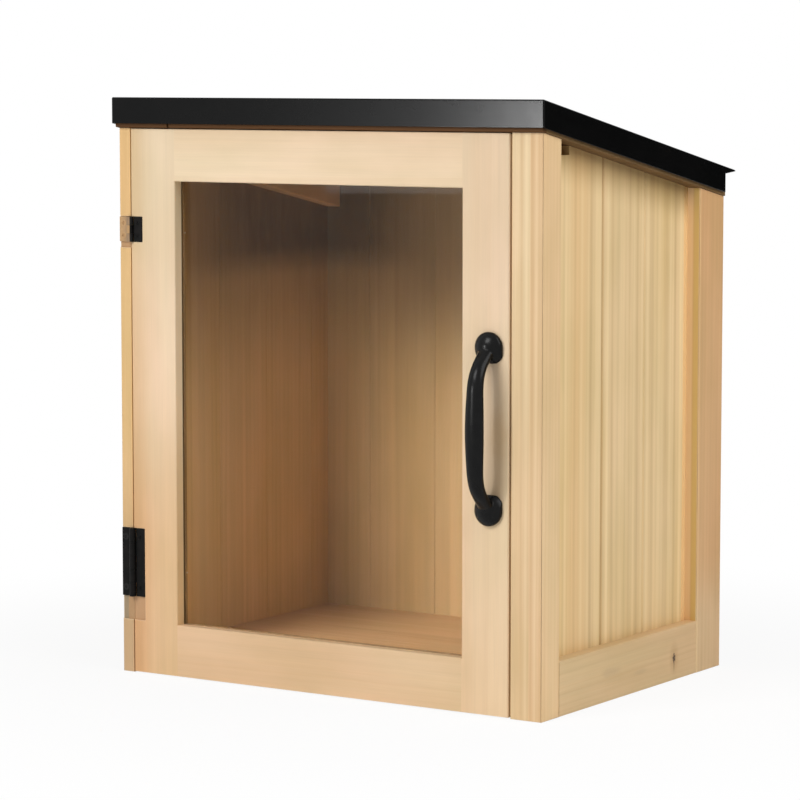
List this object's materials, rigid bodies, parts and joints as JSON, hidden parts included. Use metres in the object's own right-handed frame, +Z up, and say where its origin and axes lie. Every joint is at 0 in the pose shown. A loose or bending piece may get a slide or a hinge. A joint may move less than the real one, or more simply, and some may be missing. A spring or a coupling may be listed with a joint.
{
  "type": "street book exchange box",
  "caption": "Small wooden cabinet with a sloping metal roof, tongue and groove walls and a framed glass door on butt hinges with a bow handle and a magnetic catch.",
  "frame": {"origin": "centre of the footprint, on the underside of the floor board and walls", "axes": "+Z up, the door faces -Y, +X is the handle's side as a reader faces the door"},
  "size_m": [0.362, 0.2936, 0.4187],
  "materials": {
    "board_wood": "clear-stained pine, satin",
    "frame_wood": "clear-stained pine, satin",
    "inner_wood": "bare pine",
    "deck_wood": "dark exterior board",
    "door_wood": "clear-stained pine, satin",
    "roof_metal": "black coated sheet, satin",
    "screw_steel": "zinc plated",
    "glass": "clear float glass",
    "black_metal": "black, satin",
    "bronzed_metal": "worn bronzed steel",
    "frame_screw_metal": "bronzed steel",
    "handle_metal": "black powder coat, satin",
    "catch_plastic": "moulded, matt",
    "magnet": "ferrite, matt",
    "strike_steel": "zinc plated"
  },
  "bodies": {
    "cabinet": {"back_board_1": "board_wood", "back_board_2": "board_wood", "back_board_3": "board_wood", "back_board_4": "board_wood", "back_board_5": "board_wood", "back_board_6": "board_wood", "back_bottom_rail": "frame_wood", "back_left_stile": "frame_wood", "back_right_stile": "frame_wood", "back_top_rail": "frame_wood", "catch_housing": "catch_plastic", "catch_magnet": "magnet", "catch_screws": "screw_steel", "closing_strip": "frame_wood", "door_header": "inner_wood", "floor_board": "inner_wood", "frame_hinge_screws": "frame_screw_metal", "left_board_1": "board_wood", "left_board_2": "board_wood", "left_board_3": "board_wood", "left_board_4": "board_wood", "left_board_5": "board_wood", "left_bottom_rail": "frame_wood", "left_front_stile": "frame_wood", "left_rear_stile": "frame_wood", "left_roof_cleat": "inner_wood", "lower_hinge_frame_leaf": "black_metal", "lower_hinge_pin": "black_metal", "right_board_1": "board_wood", "right_board_2": "board_wood", "right_board_3": "board_wood", "right_board_4": "board_wood", "right_board_5": "board_wood", "right_bottom_rail": "frame_wood", "right_front_stile": "frame_wood", "right_rear_stile": "frame_wood", "right_roof_cleat": "inner_wood", "roof_deck": "deck_wood", "roof_screws": "screw_steel", "roof_sheet": "roof_metal", "upper_hinge_frame_leaf": "bronzed_metal", "upper_hinge_pin": "black_metal"},
    "door": {"door_hinge_stile": "door_wood", "door_latch_stile": "door_wood", "door_bottom_rail": "door_wood", "door_top_rail": "door_wood", "door_glass": "glass", "bottom_glazing_bead": "door_wood", "top_glazing_bead": "door_wood", "left_glazing_bead": "door_wood", "right_glazing_bead": "door_wood", "glazing_brads": "screw_steel", "lower_hinge_door_leaf": "black_metal", "upper_hinge_door_leaf": "black_metal", "door_hinge_screws": "black_metal", "door_handle": "handle_metal", "handle_screws": "screw_steel", "strike_plate": "strike_steel", "strike_screw": "screw_steel"}
  },
  "joints": [
    {"name": "door_swing", "type": "hinge", "parent": "cabinet", "child": "door", "pos_m": [-0.16785, -0.13, 0.2], "axis": [0, 0, -1], "range_deg": [0, 175]}
  ]
}
